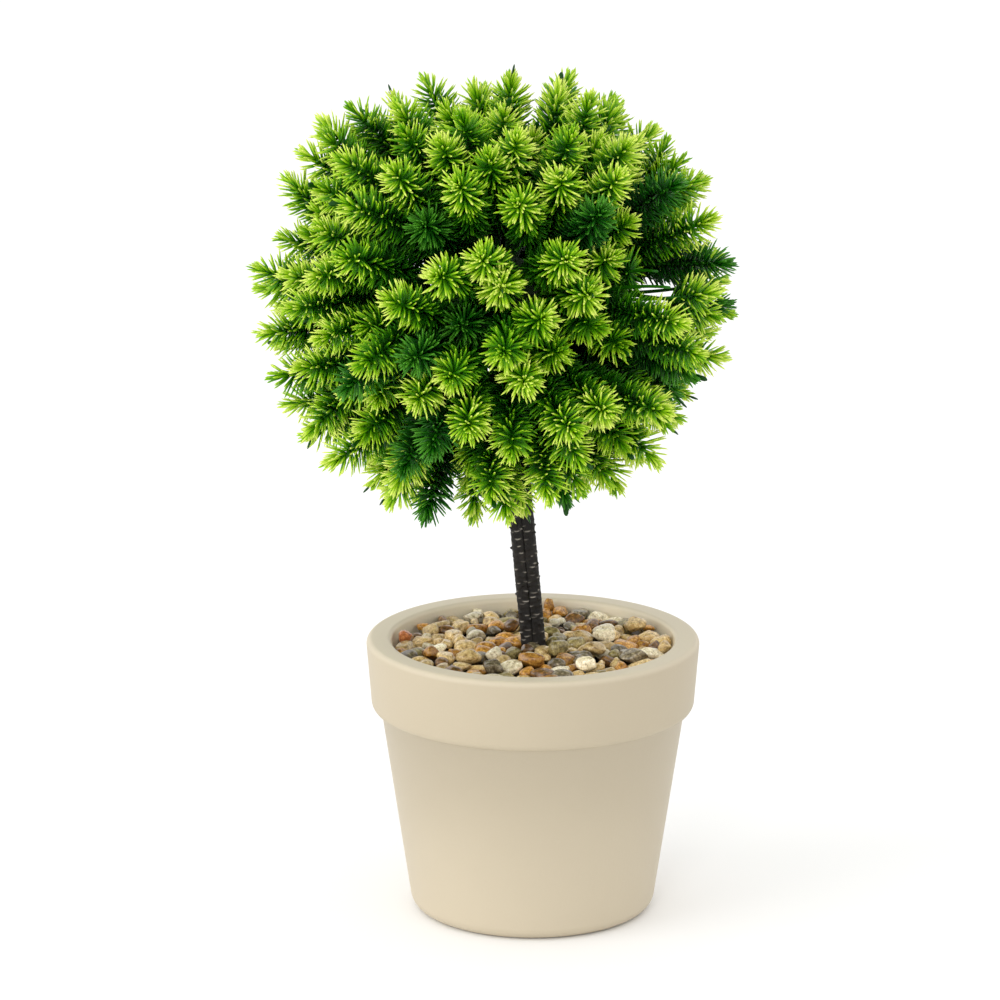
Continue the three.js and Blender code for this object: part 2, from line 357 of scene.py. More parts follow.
def lathe(outline, sides):
    """Turns (radius, height) points about +Z, with a fan at each end that lies on the axis."""
    angle = (2 * math.pi * np.arange(sides) / sides)[None, :]
    rings = outline[1:-1]
    x = rings[:, :1] * np.cos(angle)
    y = rings[:, :1] * np.sin(angle)
    z = np.broadcast_to(rings[:, 1:], x.shape)
    ends = [[0, 0, outline[0, 1]], [0, 0, outline[-1, 1]]]
    points = np.vstack([np.stack([x, y, z], axis=-1).reshape(-1, 3), ends])
    side = np.arange(sides)
    following = (side + 1) % sides
    last = sides * (len(rings) - 1)
    below = np.stack([following, side, np.full(sides, len(points) - 2)], axis=-1)
    above = np.stack([last + side, last + following, np.full(sides, len(points) - 1)], axis=-1)
    return points, [ring_faces(len(rings), sides), below, above]


# ---- Materials ----

def rgb(red, green, blue):
    """A screen colour from 0 to 255 as the linear colour that a shader takes."""
    share = np.array([red, green, blue]) / 255
    linear = np.where(share <= 0.04045, share / 12.92, ((share + 0.055) / 1.055) ** 2.4)
    return (*linear.tolist(), 1)


class Finish:
    """A procedural material: a Principled shader, and short ways to add the nodes that feed it."""

    def __init__(self, name, **constants):
        self.material = bpy.data.materials.new(name)
        self.material.use_nodes = True
        self.tree = self.material.node_tree
        self.shader = self.tree.nodes["Principled BSDF"]
        for socket, value in constants.items():
            self.shader.inputs[socket.replace("_", " ")].default_value = value

    def node(self, kind, inputs, **settings):
        made = self.tree.nodes.new(kind)
        for name, value in settings.items():
            setattr(made, name, value)
        for socket, value in inputs.items():
            if isinstance(value, bpy.types.NodeSocket):
                self.tree.links.new(value, made.inputs[socket])
            else:
                made.inputs[socket].default_value = value
        return made

    def drive(self, socket, value):
        self.tree.links.new(value, self.shader.inputs[socket])

    def place(self):
        return self.node("ShaderNodeTexCoord", {}).outputs["Object"]

    def value(self, name):
        return self.node("ShaderNodeAttribute", {}, attribute_name=name).outputs["Fac"]

    def vector(self, name):
        return self.node("ShaderNodeAttribute", {}, attribute_name=name).outputs["Vector"]

    def noise(self, place, scale, detail=3.0, roughness=0.55):
        inputs = {"Vector": place, "Scale": scale, "Detail": detail, "Roughness": roughness}
        return self.node("ShaderNodeTexNoise", inputs).outputs["Fac"]

    def math(self, operation, first, second=0.0):
        return self.node("ShaderNodeMath", {0: first, 1: second}, operation=operation).outputs[0]

    def spread(self, value, low, high):
        """Takes a value from 0 to 1 to the range from low to high."""
        inputs = {"Value": value, "To Min": low, "To Max": high}
        return self.node("ShaderNodeMapRange", inputs).outputs[0]

    def ramp(self, value, stops):
        made = self.node("ShaderNodeValToRGB", {"Fac": value})
        elements = made.color_ramp.elements
        while len(elements) < len(stops):
            elements.new(0.5)
        for element, (position, colour) in zip(elements, stops):
            element.position = position
            element.color = rgb(*colour)
        return made.outputs["Color"]

    def mixed(self, share, first, second):
        made = self.node("ShaderNodeMix", {0: share, 6: first, 7: second}, data_type="RGBA")
        return made.outputs[2]

    def bump(self, height, depth, strength=1.0):
        inputs = {"Height": height, "Distance": depth, "Strength": strength}
        self.drive("Normal", self.node("ShaderNodeBump", inputs).outputs["Normal"])


def needle_plastic():
    """Soft green plastic, brushed yellow-green towards the needles' points; some tips stay deep green."""
    finish = Finish("needle_plastic", Specular_IOR_Level=0.22)
    mottle = finish.noise(finish.place(), 420.0)
    tone = finish.math("ADD", finish.value("tone"), finish.spread(mottle, -0.07, 0.07))
    fresh = finish.ramp(tone, [
        (0.0, (8, 46, 2)),
        (0.25, (34, 106, 3)),
        (0.5, (90, 158, 5)),
        (0.75, (168, 211, 32)),
        (1.0, (226, 242, 112)),
    ])
    deep = finish.ramp(tone, [
        (0.0, (6, 38, 3)),
        (0.5, (20, 92, 8)),
        (1.0, (80, 150, 36)),
    ])
    finish.drive("Base Color", finish.mixed(finish.value("deep"), fresh, deep))
    finish.drive("Roughness", finish.spread(mottle, 0.24, 0.38))
    return finish.material


def glaze():
    """Smooth beige ceramic with a satin glaze, mixed towards a paler colour by the pot's painted light
    value.
    """
    finish = Finish("beige_glaze", Specular_IOR_Level=0.4)
    place = finish.place()
    cloud = finish.noise(place, 14.0, 4.0)
    grain = finish.noise(place, 900.0, 2.0)
    share = finish.math("ADD", finish.spread(cloud, 0.1, 0.8), finish.spread(grain, -0.1, 0.1))
    body = finish.ramp(share, [(0.0, (181, 168, 144)), (1.0, (191, 179, 155))])
    # The paler colour is painted light inside the pot, on the rim's top and on the body.
    finish.drive("Base Color", finish.mixed(finish.value("pale"), body, rgb(232, 220, 197)))
    finish.drive("Roughness", finish.spread(cloud, 0.42, 0.56))
    finish.bump(grain, 0.00006, 0.5)
    return finish.material


def bark():
    """Dark brown moulded bark with paler marks."""
    finish = Finish("bark_plastic", Specular_IOR_Level=0.35)
    place = finish.place()
    fibre = finish.noise(place, 420.0, 6.0, 0.75)
    patch = finish.noise(place, 120.0, 2.0)
    share = finish.math("ADD", finish.spread(patch, -0.2, 0.5), finish.spread(fibre, -0.1, 0.6))
    skin = finish.ramp(share, [(0.25, (12, 9, 7)), (0.55, (31, 26, 21)), (0.85, (78, 65, 51))])
    marked = finish.mixed(finish.value("mark"), skin, rgb(206, 197, 184))
    finish.drive("Base Color", marked)
    finish.drive("Roughness", finish.spread(fibre, 0.4, 0.7))
    finish.bump(fibre, 0.0009, 1.0)
    return finish.material


STONES = {
    "sand": [(248, 226, 172), (204, 172, 112), (122, 94, 54)],
    "amber": [(240, 190, 98), (184, 128, 50), (92, 56, 18)],
    "umber": [(170, 122, 64), (110, 76, 38), (50, 33, 14)],
    "terracotta": [(222, 150, 92), (172, 100, 54), (100, 52, 26)],
    "chalk": [(255, 248, 226), (222, 208, 174), (146, 130, 98)],
    "olive": [(196, 182, 122), (142, 126, 76), (76, 66, 36)],
    "slate": [(176, 162, 132), (114, 101, 76), (50, 42, 28)],
}
# How common each kind is in the gravel, in percent. Terracotta is for named pebbles only.
SHARES = {"sand": 34, "amber": 20, "umber": 9, "terracotta": 0, "chalk": 14, "olive": 14, "slate": 9}


def stone(kind):
    """A varnished river stone: clouds, bands in its own layers and fine specks."""
    light, base, dark = STONES[kind]
    finish = Finish(f"stone_{kind}", Specular_IOR_Level=0.35, Coat_Weight=0.6, Coat_Roughness=0.05)
    grain = finish.vector("grain")
    cloud = finish.noise(grain, 0.32, 4.0, 0.6)
    speck = finish.noise(grain, 0.8, 6.0, 0.72)
    wave_inputs = {"Vector": grain, "Scale": 0.26, "Distortion": 5.0, "Detail": 3.0, "Detail Scale": 0.7}
    band = finish.node("ShaderNodeTexWave", wave_inputs, bands_direction="Z").outputs["Fac"]
    share = finish.math("ADD", finish.spread(cloud, -0.15, 0.95), finish.spread(band, -0.08, 0.08))
    body = finish.ramp(share, [(0.15, dark), (0.45, base), (0.62, base), (0.9, light)])
    speckled = finish.ramp(speck, [(0.4, dark), (0.47, base), (0.53, base), (0.61, light)])
    coloured = finish.mixed(0.72, body, speckled)
    # The brightness value holds each stone's random tone and, on the lower layer, painted shadow.
    shade = finish.node("ShaderNodeHueSaturation", {"Value": finish.value("shade"), "Color": coloured})
    finish.drive("Base Color", shade.outputs["Color"])
    finish.drive("Roughness", finish.spread(speck, 0.3, 0.55))
    finish.bump(speck, 0.0002, 0.25)
    return finish.material


def binder():
    """The resin and grit between the bonded stones, darkened to near black: painted shadow in the gaps."""
    finish = Finish("gravel_binder_painted_shadow", Roughness=0.7)
    grit = finish.noise(finish.place(), 1200.0, 4.0)
    # Near-black colours: painted shadow between the stones.
    finish.drive("Base Color", finish.ramp(grit, [(0.3, (14, 11, 7)), (0.7, (46, 37, 26))]))
    finish.bump(grit, 0.0006)
    return finish.material


def cement():
    finish = Finish("cast_cement")
    grit = finish.noise(finish.place(), 500.0, 6.0, 0.7)
    finish.drive("Base Color", finish.ramp(grit, [(0.25, (120, 116, 108)), (0.75, (172, 168, 160))]))
    finish.drive("Roughness", finish.spread(grit, 0.8, 0.95))
    finish.bump(grit, 0.0004)
    return finish.material


def steel_wire():
    finish = Finish("drawn_wire", Metallic=1.0)
    stretched = finish.node("ShaderNodeMapping", {"Vector": finish.place(), "Scale": (1, 1, 0.03)})
    scratch = finish.noise(stretched.outputs["Vector"], 3000.0)
    finish.drive("Base Color", finish.ramp(scratch, [(0.3, (150, 152, 156)), (0.7, (186, 188, 192))]))
    finish.drive("Roughness", finish.spread(scratch, 0.25, 0.45))
    return finish.material


def hub_plastic():
    finish = Finish("hub_plastic")
    swirl = finish.noise(finish.place(), 160.0, 4.0)
    finish.drive("Base Color", finish.ramp(swirl, [(0.3, (20, 50, 12)), (0.7, (36, 74, 20))]))
    finish.drive("Roughness", finish.spread(swirl, 0.45, 0.65))
    finish.bump(swirl, 0.0002)
    return finish.material


# ---- Pot ----

def inside_radius(height):
    """The inside wall's radius: a straight taper from the floor to the mouth."""
    share = (height - FLOOR_THICKNESS) / (POT_HEIGHT - MOUTH_ROUNDING - FLOOR_THICKNESS)
    return FLOOR_RADIUS + (RIM_RADIUS - RIM_WALL - FLOOR_RADIUS) * share


def pot_outline():
    """Up the outside from the underside's centre, over the rim and down the inside to the floor."""
    body_tilt = math.atan((BODY_TOP_RADIUS - BODY_FOOT_RADIUS) / BAND_BOTTOM)
    shoulder = POT_HEIGHT - RIM_ROUNDING
    band_tilt = math.atan((RIM_RADIUS - BAND_BOTTOM_RADIUS) / (shoulder - BAND_BOTTOM))
    inset = math.cos(body_tilt) - math.tan(body_tilt) * (1 - math.sin(body_tilt))
    foot = (BODY_FOOT_RADIUS - FOOT_ROUNDING * inset, FOOT_ROUNDING)
    band = (BAND_BOTTOM_RADIUS - BAND_ROUNDING, BAND_BOTTOM + BAND_ROUNDING)
    rim = (RIM_RADIUS - RIM_ROUNDING, shoulder)
    mouth = (RIM_RADIUS - RIM_WALL + MOUTH_ROUNDING, POT_HEIGHT - MOUTH_ROUNDING)
    down, up, inwards = -math.pi / 2, math.pi / 2, math.pi
    return np.vstack([
        [[0, 0]],
        arc(foot, FOOT_ROUNDING, down, -body_tilt, ARC_STEPS),
        [[BODY_TOP_RADIUS, BAND_BOTTOM]],
        arc(band, BAND_ROUNDING, down, -band_tilt, ARC_STEPS),
        arc(rim, RIM_ROUNDING, -band_tilt, up, ARC_STEPS),
        arc(mouth, MOUTH_ROUNDING, up, inwards, ARC_STEPS),
        [[FLOOR_RADIUS, FLOOR_THICKNESS], [0, FLOOR_THICKNESS]],
    ])


def pot():
    """The glaze is painted palest inside, paler on the rim's top and a little paler on the body than on the
    band: painted light.
    """
    points, faces = lathe(pot_outline(), POT_SIDES)
    height = points[:, 2]
    mouth = RIM_RADIUS - RIM_WALL + MOUTH_ROUNDING
    away = np.hypot(points[:, 0], points[:, 1])
    inside = np.where(height < FLOOR_THICKNESS, 0, eased((mouth - away) / MOUTH_ROUNDING))
    rim_top = eased((height - POT_HEIGHT + RIM_ROUNDING) / RIM_ROUNDING)
    # The painted light is palest inside the mouth, paler on the rim's top and a little paler on the body.
    pale = np.maximum(INSIDE_PAINTED_LIGHT * inside, RIM_PAINTED_LIGHT * rim_top)
    pale = np.maximum(pale, BODY_PAINTED_LIGHT * (height <= BAND_BOTTOM))
    build = Build()
    build.add(points, faces, pale=pale)
    build.piece("glazed_pot", [glaze()], ["pot"])


# ---- Stones ----

def ball(levels):
    """A unit ball of small triangles: directions and faces."""
    shape = bmesh.new()
    bmesh.ops.create_icosphere(shape, subdivisions=levels, radius=1)
    directions = np.array([v.co for v in shape.verts])
    faces = [[v.index for v in face.verts] for face in shape.faces]
    shape.free()
    return unit(directions), [faces]


def water_worn(directions, draw):
    """A soft, slightly lopsided stone that is 1 across each way."""
    squareness = draw.uniform(*STONE_SQUARENESS)
    spin = turned(draw.uniform(0, math.pi)) @ turned(draw.uniform(-0.5, 0.5), 0)
    seen = np.abs(directions @ spin)
    swell = (seen ** squareness).sum(axis=1) ** (-1 / squareness)
    for _ in range(STONE_WAVES):
        wave = draw.normal(size=3) * draw.uniform(*WAVE_RATES)
        swell += draw.uniform(*WAVE_HEIGHTS) * np.cos(directions @ wave + draw.uniform(0, 2 * math.pi))
    points = directions * swell[:, None]
    for _ in range(STONE_FLATS):
        facing = unit(draw.normal(size=3))
        beyond = np.clip(points @ facing - draw.uniform(*FLAT_DISTANCES), 0, None)
        points = points - FLAT_WEAR * beyond[:, None] * facing
    points[:, 1] *= 1 + draw.uniform(-0.3, 0.3) * points[:, 0]
    low, high = points.min(axis=0), points.max(axis=0)
    return (points - (low + high) / 2) / (high - low)


def add_stone(build, shape, size, turn, place, draw, slot=0, shade=1.0):
    """Adds a stone of a size (length, width, thickness), with its own grain, and a brightness that holds its
    own random tone and, for the lower layer, painted shadow.
    """
    directions, faces = shape
    points = water_worn(directions, draw) * size
    grain = points @ turned(draw.uniform(-0.6, 0.6), 0) + draw.uniform(-GRAIN_SPREAD, GRAIN_SPREAD, 3)
    build.add(points @ turn + place, faces, slot, grain=grain, shade=shade * draw.uniform(*STONE_SHADES))


def feature_stones(finishes):
    """The named pebbles: each fills its CAD node's ellipsoid, along the node's own length and width."""
    shape = ball(5)
    slots = {part["node"]: part["material_slot"] for part in frame["record"]["subparts"]}
    names = sorted(name for name in frame["nodes"] if name.startswith("pebble_"))
    for number, name in enumerate(names):
        points = node_points(name)
        middle = box_middle(points)
        flat = points[:, :2] - middle[:2]
        length_first = np.linalg.eigh(flat.T @ flat)[1][:, ::-1]
        across = np.ptp(flat @ length_first, axis=0)
        turn = math.atan2(length_first[1, 0], length_first[0, 0])
        build = Build()
        size = [*across, np.ptp(points[:, 2])]
        add_stone(build, shape, size, turned(turn), middle, np.random.default_rng(number + 10))
        kind = slots[name].removeprefix("pebble_")
        build.piece(f"river_{name}", [finishes[kind]], [name])


def settled(radii, kept_clear, draw):
    """Middles of discs that have pushed each other apart in the round bed, clear of fixed discs."""
    count = len(radii)
    fixed = np.array([row[:2] for row in kept_clear])
    sizes = np.concatenate([radii, [row[2] for row in kept_clear]])
    turn = np.arange(count) * GOLDEN_ANGLE
    out = BED_RADIUS * np.sqrt((np.arange(count) + 0.5) / count)
    moving = np.column_stack([out * np.cos(turn), out * np.sin(turn)])
    moving += draw.uniform(-SETTLING_JITTER, SETTLING_JITTER, moving.shape)
    for _ in range(SETTLING_ROUNDS):
        everything = np.vstack([moving, fixed])
        apart = moving[:, None] - everything[None]
        distance = np.linalg.norm(apart, axis=-1) + TINY
        overlap = np.clip(STONE_CROWDING * (radii[:, None] + sizes[None]) - distance, 0, None)
        overlap[np.arange(count), np.arange(count)] = 0
        moving += (apart / distance[..., None] * overlap[..., None]).sum(axis=1) * SETTLING_PUSH
        reach = np.linalg.norm(moving, axis=1)
        limit = BED_RADIUS - WALL_CROWDING * radii
        moving *= np.minimum(1, limit / (reach + TINY))[:, None]
    return moving


def trunk_discs(height):
    """Where the stems pass a height, as (x, y, radius)."""
    discs = []
    for side in ("left", "right"):
        foot, head = bar_ends(f"stem_wire_{side}")
        place = foot + (head - foot) * (height - foot[2]) / (head[2] - foot[2])
        discs.append((place[0], place[1], STEM_RADIUS + GAP))
    return discs


def add_layer(build, shape, kept_clear, draw, count, height, unevenness, shade):
    """A layer of loose-looking stones of mixed kinds, tilted a little and lying side by side."""
    kinds = list(SHARES)
    chances = np.array(list(SHARES.values())) / sum(SHARES.values())
    picked = draw.choice(len(kinds), size=count, p=chances)
    lengths = draw.uniform(*STONE_LENGTHS, count)
    widths = lengths * draw.uniform(*WIDTH_SHARES, count)
    thicknesses = widths * draw.uniform(*THICKNESS_SHARES, count)
    middles = settled((lengths + widths) / 4, kept_clear, draw)
    for i in range(count):
        size = [lengths[i], widths[i], min(thicknesses[i], STONE_THICKEST)]
        turn = turned(draw.uniform(-STONE_TILT, STONE_TILT), 0)
        turn = turn @ turned(draw.uniform(-STONE_ROLL, STONE_ROLL), 1)
        turn = turn @ turned(draw.uniform(0, 2 * math.pi))
        dome = 1 - np.linalg.norm(middles[i]) / BED_RADIUS
        place = [*middles[i], height + dome + draw.uniform(-unevenness, unevenness)]
        add_stone(build, shape, size, turn, place, draw, int(picked[i]), shade)


def gravel(finishes):
    """The bonded gravel: two layers of stones on a near-black binder; the binder's colour and the darkened
    lower layer are painted shadow in the gaps.
    """
    draw = np.random.default_rng(4)
    features = []
    for name in frame["nodes"]:
        if name.startswith("pebble_"):
            points = node_points(name)
            middle = box_middle(points)
            features.append((middle[0], middle[1], np.ptp(points[:, :2], axis=0).mean() / 2))
    build = Build()
    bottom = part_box("gravel_bed")[0][2] / MM
    top = BED_TOP - BINDER_DEPTH
    low_edge = [inside_radius(bottom) - GAP, bottom]
    high_edge = [inside_radius(top) - GAP, top]
    slab = np.array([[0, bottom], low_edge, high_edge, [0, top]])
    points, faces = lathe(slab, POT_SIDES)
    build.add(points, faces, len(SHARES), grain=points, shade=1)
    trunk = trunk_discs(BED_TOP)
    # The lower layer is darkened to a small share of its colour: painted shadow in the gaps between the
    # upper stones.
    under = {"count": UNDER_STONES, "height": BED_TOP - UNDER_DEPTH, "unevenness": 0.3, "shade": 0.15}
    add_layer(build, ball(3), trunk, draw, **under)
    upper = {"count": BED_STONES, "height": BED_TOP, "unevenness": 1.2, "shade": 1}
    add_layer(build, ball(4), trunk + features, draw, **upper)
    stones = [finishes[kind] for kind in SHARES]
    build.piece("bonded_gravel", [*stones, binder()], ["gravel_bed"])


# ---- Stems ----

def round_way(angle, heading):
    """How far angles are from a heading, measured round the stem."""
    return STEM_RADIUS * (np.mod(angle - heading + math.pi, 2 * math.pi) - math.pi)


def rippled(height, angle):
    """The bare bark's radius: soft ripples, and a fuller flank towards the other stem."""
    long_ripple = 0.05 * np.sin(angle * 5 + height * 0.23) * np.cos(height * 0.9 + angle)
    short_ripple = 0.06 * np.sin(height * 2.9 + 0.6 * np.sin(angle * 2)) * np.sin(height * 0.37)
    surface = STEM_RADIUS + BARK_RELIEF + long_ripple + short_ripple
    return surface + FLANK_FILL * eased((np.cos(angle) - 0.2) / 0.5)


def knobbed(surface, height, angle, length, draw):
    """Raises small knobs on the bark."""
    for row in range(int(length / KNOB_SPACING) * 2):
        middle = (row + draw.uniform(0.1, 0.9)) * KNOB_SPACING / 2
        away = round_way(angle, draw.uniform(0, 2 * math.pi))
        far = (away**2 + (height - middle) ** 2) / KNOB_RADIUS**2
        surface = surface + KNOB_HEIGHT * np.exp(-far)
    return surface


def marked(surface, height, angle, length, draw):
    """Raises short crosswise marks on the bark, and says how pale each point is."""
    mark = np.zeros_like(surface)
    for row in range(int(length / MARK_SPACING)):
        for column in range(MARK_COLUMNS):
            middle = (row + draw.uniform(0.1, 0.9)) * MARK_SPACING
            heading = (column + draw.uniform(-0.4, 0.4)) * 2 * math.pi / MARK_COLUMNS
            away = round_way(angle, heading)
            bowed = height - middle - MARK_BOW * away**2
            half_length = draw.uniform(*MARK_HALF_LENGTHS)
            dash = np.exp(-((away / half_length) ** 4) - (bowed / MARK_HALF_WIDTH) ** 2)
            surface = surface + MARK_HEIGHT * dash
            mark = np.maximum(mark, dash * draw.uniform(0.05, 1.0) ** 1.5)
    return surface, mark


def stem(side, finish):
    """A bark-textured tube round its wire, with knobs and pale crosswise marks, flat against its twin."""
    draw = np.random.default_rng({"left": 21, "right": 22}[side])
    foot, head = bar_ends(f"stem_bark_{side}")
    other = bar_ends("stem_bark_right" if side == "left" else "stem_bark_left")[0]
    along = unit(head - foot)
    towards = unit(other - foot)
    across = np.cross(along, towards)
    length = np.linalg.norm(head - foot)
    rings = int(length / BARK_STEP)
    height = np.linspace(0, length, rings)[:, None]
    angle = (2 * math.pi * np.arange(BARK_SIDES) / BARK_SIDES)[None, :]
    surface = knobbed(rippled(height, angle), height, angle, length, draw)
    surface, mark = marked(surface, height, angle, length, draw)
    middle_plane = (np.linalg.norm(other - foot) / 2 - SEAM) / np.clip(np.cos(angle), 0.01, 1)
    surface = np.where(np.cos(angle) > 0, np.minimum(surface, middle_plane), surface)
    spoke = np.cos(angle)[..., None] * towards + np.sin(angle)[..., None] * across
    centre = foot + height[..., None] * along
    outer = centre + surface[..., None] * spoke
    bore = np.array([end + (WIRE_RADIUS + GAP) * spoke[0] for end in (head, foot)])
    faces = ring_faces(rings + 2, BARK_SIDES)
    closing = np.arange(BARK_SIDES)
    following = (closing + 1) % BARK_SIDES
    last = BARK_SIDES * (rings + 1)
    shut = np.stack([last + closing, last + following, following, closing], axis=-1)
    values = np.concatenate([mark, np.zeros((2, BARK_SIDES))]).ravel()
    build = Build()
    build.add(np.concatenate([outer, bore]), [faces, shut], mark=values)
    build.piece(f"bark_{side}", [finish], [f"stem_bark_{side}"])


# ---- Crown ----

class Tree:
    """The leaning tree's own frame: its origin is the crown's centre and its z runs up the stems."""

    def __init__(self):
        ends = [bar_ends(f"stem_wire_{side}") for side in ("left", "right")]
        foot = (ends[0][0] + ends[1][0]) / 2
        head = (ends[0][1] + ends[1][1]) / 2
        up = unit(head - foot)
        right = unit(ends[1][1] - ends[0][1])
        self.axes = np.array([right, np.cross(up, right), up])
        self.centre = head - STEM_HEAD * up

    def out(self, points):
        """Points of the tree's frame in the object's frame."""
        return self.centre + points @ self.axes

    def back(self, points):
        """Points of the object's frame in the tree's frame."""
        return (points - self.centre) @ self.axes.T


def spread_directions(count, lowest):
    """Evenly spread directions, from straight up down to a height on the unit sphere."""
    index = np.arange(count)
    height = 1 - (1 - lowest) * (index + 0.5) / count
    around = np.sqrt(1 - height**2)
    turn = index * GOLDEN_ANGLE
    return np.column_stack([around * np.cos(turn), around * np.sin(turn), height])


def crown_reach(directions):
    """How far the crown reaches from its centre: a slightly squared spheroid with its short sides."""
    sideways = np.hypot(directions[:, 0], directions[:, 1]) / CROWN_HALF_WIDTH
    upward = np.abs(directions[:, 2]) / CROWN_HALF_HEIGHT
    squareness = np.where(directions[:, 2] > 0, SQUARENESS_ABOVE, SQUARENESS_BELOW)
    reach = (sideways**squareness + upward**squareness) ** (-1 / squareness)
    for side, cut in SHORT_SIDES:
        facing = np.clip(directions @ unit(np.array(side)), 0, None)
        reach *= 1 - cut * facing**SHORT_SIDE_FALLOFF
    return reach[:, None]


def from_parting(points, half_size):
    """How points lie from the parting's line, and their distance as a share of an oval round it."""
    away = points - PARTING_PLACE
    away = away - (away @ PARTING_LINE)[:, None] * PARTING_LINE
    height = np.hypot(away[:, 1], away[:, 2])
    return away, np.hypot(away[:, 0] / half_size[0], height / half_size[1])


def crown_tips(axes):
    """Every tip's end and its spray's number."""
    index = np.arange(TIPS)
    nudges = np.column_stack([TIP_JITTER * (2 * hashed(index, stream) - 1) for stream in (1, 2, 3)])
    free = unit(spread_directions(TIPS, LOWEST_TIP) + nudges)
    points = free * crown_reach(free)
    away, share = from_parting(points, PARTING_HALF_SIZE)
    points += away * np.where(share < 1, 1 / share - 1, 0)[:, None]
    directions = unit(points)
    full_reach = 1 - REACH_SPREAD * hashed(index, 4) ** 2
    shares = np.where(hashed(index, 5) < RECESSED_SHARE, RECESSED_REACH, full_reach)
    ends = directions * crown_reach(directions) * shares[:, None]
    return ends, np.argmax(ends @ axes.T, axis=1)


def bent(start, end, arriving, count):
    """Points of a curve that bends round to arrive at its end in the given direction."""
    share = np.linspace(0, 1, count)[:, None]
    knee = end - 0.5 * np.linalg.norm(end - start) * arriving
    return (1 - share) ** 2 * start + 2 * share * (1 - share) * knee + share**2 * end


def whorls(path, draw):
    """The rings of needle roots along a twig's end: place, direction and distance from the end."""
    steps = np.linalg.norm(np.diff(path, axis=0), axis=1)
    from_start = np.concatenate([[0], np.cumsum(steps)])
    back = np.concatenate([[0], np.arange(WHORL_START, BUSH_LENGTH, WHORL_PITCH)])
    back[2:] += draw.uniform(-WHORL_JITTER, WHORL_JITTER, len(back) - 2)
    places = [np.interp(from_start[-1] - back, from_start, path[:, k]) for k in range(3)]
    along = unit(np.gradient(path, axis=0))
    headings = [np.interp(from_start[-1] - back, from_start, along[:, k]) for k in range(3)]
    return np.column_stack(places), unit(np.column_stack(headings)), back


def needle_tones(back, around, shares, brightness, draw):
    """Needles are lightest at their points and near the twig's end, and one side of a bush is better lit."""
    side_light = 1 + SIDE_LIGHT * np.cos(around - draw.uniform(0, 2 * math.pi))
    at_root = ROOT_TONE - ROOT_TONE_LOSS * eased(back / ROOT_DARKENING_LENGTH)
    at_point = POINT_TONE + POINT_TONE_GAIN * eased(back / POINT_LIGHTENING_LENGTH)
    at_point = at_point - POINT_TONE_LOSS * eased((back - POINT_DARKENING_START) / POINT_DARKENING_LENGTH)
    tone = at_root[:, None] + (at_point - at_root)[:, None] * shares[None] ** TONE_CURVE
    tone = tone * (side_light * brightness)[:, None]
    tone = tone + draw.normal(0, TONE_JITTER, len(back))[:, None]
    return np.clip(tone, 0, 1).ravel()


def add_needles(build, path, brightness, deep, tree, draw):
    """Needles in alternating whorls round a twig's end, longer and more spread away from the end."""
    places, headings, back = whorls(path, draw)
    kept = from_parting(tree.back(places), CLEARED_HALF_SIZE)[1] > 1
    places, headings, back = places[kept], headings[kept], back[kept]
    per_whorl = int(draw.integers(FEWEST_NEEDLES, MOST_NEEDLES + 1))
    counts = np.where(back == WHORL_START, per_whorl - 2, per_whorl)
    counts = np.where(back == 0, END_NEEDLES, counts)
    whorl = np.repeat(np.arange(len(back)), counts)
    needles = len(whorl)
    within = np.concatenate([np.arange(count) for count in counts])
    around = 2 * math.pi * (within + 0.5 * (whorl % 2)) / counts[whorl] + draw.uniform(0, 2 * math.pi)
    around += draw.normal(0, AROUND_JITTER, needles)
    first, second = square_to(unit(path[-1] - path[0]))
    along, back = headings[whorl], back[whorl]
    outward = np.cos(around)[:, None] * first + np.sin(around)[:, None] * second
    outward = unit(outward - (outward * along).sum(axis=1, keepdims=True) * along)
    opened = eased(back / OPENING_LENGTH)
    root_lean = ROOT_LEAN + ROOT_LEAN_GAIN * opened + draw.normal(0, ROOT_LEAN_JITTER, needles)
    point_lean = POINT_LEAN + POINT_LEAN_GAIN * opened + draw.normal(0, POINT_LEAN_JITTER, needles)
    length = END_NEEDLE_LENGTH + (NEEDLE_LENGTH - END_NEEDLE_LENGTH) * eased(back / LENGTHENING_LENGTH)
    length *= draw.uniform(*LENGTH_SHARES, needles)
    roots = places[whorl] - draw.uniform(0, ROOT_STAGGER, needles)[:, None] * along
    drift = draw.normal(0, NEEDLE_DRIFT, needles)
    leans = np.radians(root_lean), np.radians(point_lean)
    points, shares = needle_points(roots, along, outward, leans, drift, length)
    tones = needle_tones(back, around, shares, brightness, draw)
    build.add(points, needle_faces(needles), tone=tones, deep=deep)


def needle_points(roots, along, outward, leans, drift, length):
    """Curved four-sided spindles: three rings and a point each, and how far along each point is."""
    root_lean, point_lean = leans
    side = np.cross(along, outward)
    middle = roots
    rings = []
    for k, half_width in enumerate(NEEDLE_HALF_WIDTHS):
        lean = root_lean + (point_lean - root_lean) * NEEDLE_SHARES[k]
        normal = np.cos(lean)[:, None] * outward - np.sin(lean)[:, None] * along
        thick = NEEDLE_THINNESS * half_width * normal
        wide = half_width * side
        rings.append(np.stack([middle + thick, middle + wide, middle - thick, middle - wide], axis=1))
        step = NEEDLE_SHARES[k + 1] - NEEDLE_SHARES[k]
        halfway = NEEDLE_SHARES[k] + step / 2
        lean = root_lean + (point_lean - root_lean) * halfway
        heading = np.sin(lean)[:, None] * outward + np.cos(lean)[:, None] * along
        heading = unit(heading + (drift * halfway)[:, None] * side)
        middle = middle + heading * (length * step)[:, None]
    points = np.concatenate([*rings, middle[:, None]], axis=1)
    return points, np.repeat(NEEDLE_SHARES, [4, 4, 4, 1])


def needle_faces(count):
    """The faces of so many spindles of thirteen points."""
    shift = (13 * np.arange(count))[:, None, None]
    sides = ring_faces(3, 4)
    tip = np.array([[8, 9, 12], [9, 10, 12], [10, 11, 12], [11, 8, 12]])
    root = np.array([[3, 2, 1, 0]])
    return [(block[None] + shift).reshape(-1, block.shape[1]) for block in (sides, tip, root)]


